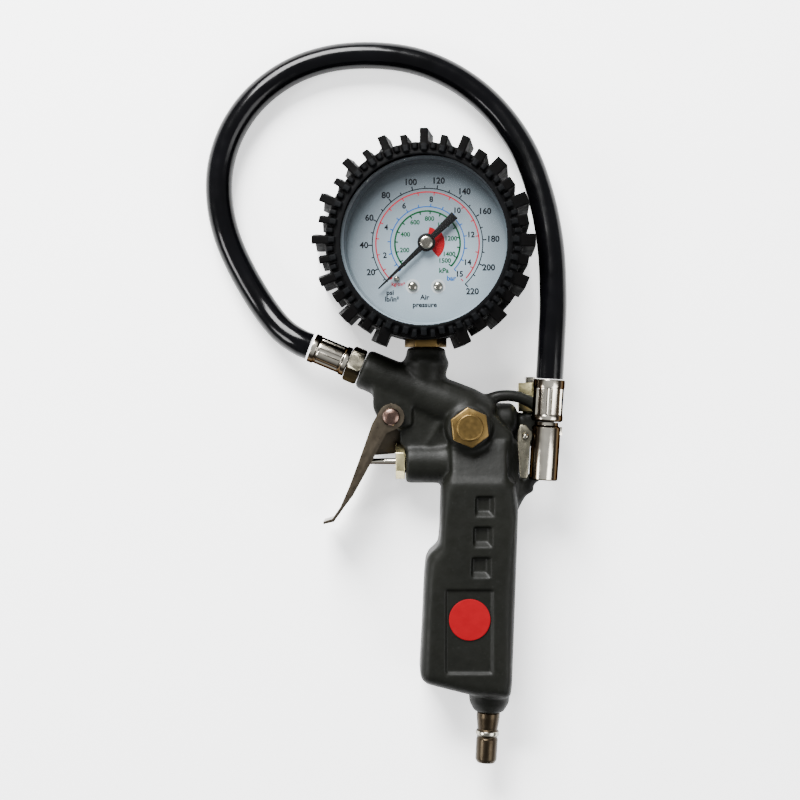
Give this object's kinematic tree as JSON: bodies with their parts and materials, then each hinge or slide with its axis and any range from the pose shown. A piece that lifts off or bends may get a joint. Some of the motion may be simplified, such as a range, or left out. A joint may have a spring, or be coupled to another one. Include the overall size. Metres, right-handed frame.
{
  "type": "tyre inflator with gauge",
  "caption": "Hand-held tyre inflator with a dial gauge in a lugged rubber boot, a trigger lever, a short looped hose and a clip-on chuck, lying on its side.",
  "frame": {"origin": "on the resting plane, under the pointer's axis (the middle of the gauge's round back)", "axes": "+Z out of the gauge's face, +Y from the handle towards the gauge, +X towards the gun's rear, where the chuck hangs"},
  "size_m": [0.1336, 0.2679, 0.0344],
  "materials": {
    "casting": "satin",
    "nickel_plate": "satin",
    "steel": "satin",
    "chrome": "polished",
    "brass": "satin",
    "boot_rubber": "matte",
    "seal_rubber": "matte",
    "hose_rubber": "gloss",
    "case_plastic": "matte",
    "clear_lens": "polished",
    "dial_print": "matte",
    "pointer_paint": "satin",
    "label_red": "satin",
    "filter": "matte"
  },
  "bodies": {
    "body": {"body_casting": "casting", "pivot_pin": "steel", "pivot_clip": "steel", "valve_gland_nut": "brass", "stem_oring": "seal_rubber", "valve_seat": "brass", "valve_spring": "steel", "side_plug": "brass", "side_plug_washer": "brass", "inlet_plug": "nickel_plate", "inlet_filter": "filter", "gauge_boot": "boot_rubber", "gauge_case": "case_plastic", "bezel_ring": "case_plastic", "gauge_lens": "clear_lens", "gauge_socket": "brass", "dial_plate": "dial_print", "dial_screw_left": "steel", "dial_screw_right": "steel", "stop_pin": "steel", "movement_plate_back": "brass", "movement_plate_front": "brass", "movement_pillar_left": "brass", "movement_pillar_right": "brass", "bourdon_tube": "brass", "hair_spring": "brass", "hose_nut": "steel", "ferrule_inlet": "chrome", "hose": "hose_rubber", "ferrule_chuck": "chrome", "chuck_body": "chrome", "chuck_pin": "steel", "chuck_seal": "seal_rubber", "chuck_depressor": "brass", "bleed_body": "brass", "bleed_seal": "seal_rubber", "bleed_spring": "steel", "label_disc": "label_red"},
    "trigger": {"trigger_lever": "nickel_plate"},
    "valve": {"valve_stem": "chrome", "valve_poppet": "seal_rubber"},
    "needle": {"pointer": "pointer_paint", "pointer_hub": "brass", "pinion_shaft": "brass"},
    "sector": {"sector_gear": "brass"},
    "link": {"sector_link": "brass"},
    "chuck_clip": {"chuck_lever": "chrome"},
    "bleed": {"bleed_button": "steel"}
  },
  "joints": [
    {"name": "trigger_pivot", "type": "hinge", "parent": "body", "child": "trigger", "pos_m": [-0.0127, -0.0629, 0.013], "axis": [0, 0, 1], "range_deg": [0, 10], "stiffness_Nm_per_rad": 0.3, "springref_deg": -5.73},
    {"name": "valve_slide", "type": "slide", "parent": "body", "child": "valve", "axis": [1, 0, 0], "range_m": [0, 0.0036], "deforming": ["valve_spring"]},
    {"name": "sector_turn", "type": "hinge", "parent": "body", "child": "sector", "pos_m": [0.0092, -0.0131, 0.0183], "axis": [0, 0, 1], "range_deg": [0, 30], "stiffness_Nm_per_rad": 0.0005},
    {"name": "pointer_turn", "type": "hinge", "parent": "body", "child": "needle", "pos_m": [0, 0, 0.027], "axis": [0, 0, -1], "range_deg": [0, 271]},
    {"name": "link_turn", "type": "hinge", "parent": "body", "child": "link", "pos_m": [-0.017, -0.0142, 0.0196], "axis": [0, 0, 1], "range_deg": [-6, 0]},
    {"name": "chuck_clip_turn", "type": "hinge", "parent": "body", "child": "chuck_clip", "pos_m": [0.0361, -0.07, 0.0212], "axis": [0, 0, -1], "range_deg": [0, 6], "stiffness_Nm_per_rad": 0.02, "springref_deg": -5.73},
    {"name": "bleed_press", "type": "slide", "parent": "body", "child": "bleed", "axis": [0, -1, 0], "range_m": [0, 0.0018], "stiffness_N_per_m": 300, "springref_m": -0.001, "deforming": ["bleed_spring"]}
  ],
  "couplings": [
    {"joint": "valve_slide", "follows": "trigger_pivot", "m_per_rad": 0.02},
    {"joint": "pointer_turn", "follows": "sector_turn", "ratio": 9},
    {"joint": "link_turn", "follows": "sector_turn", "ratio": -0.19}
  ]
}
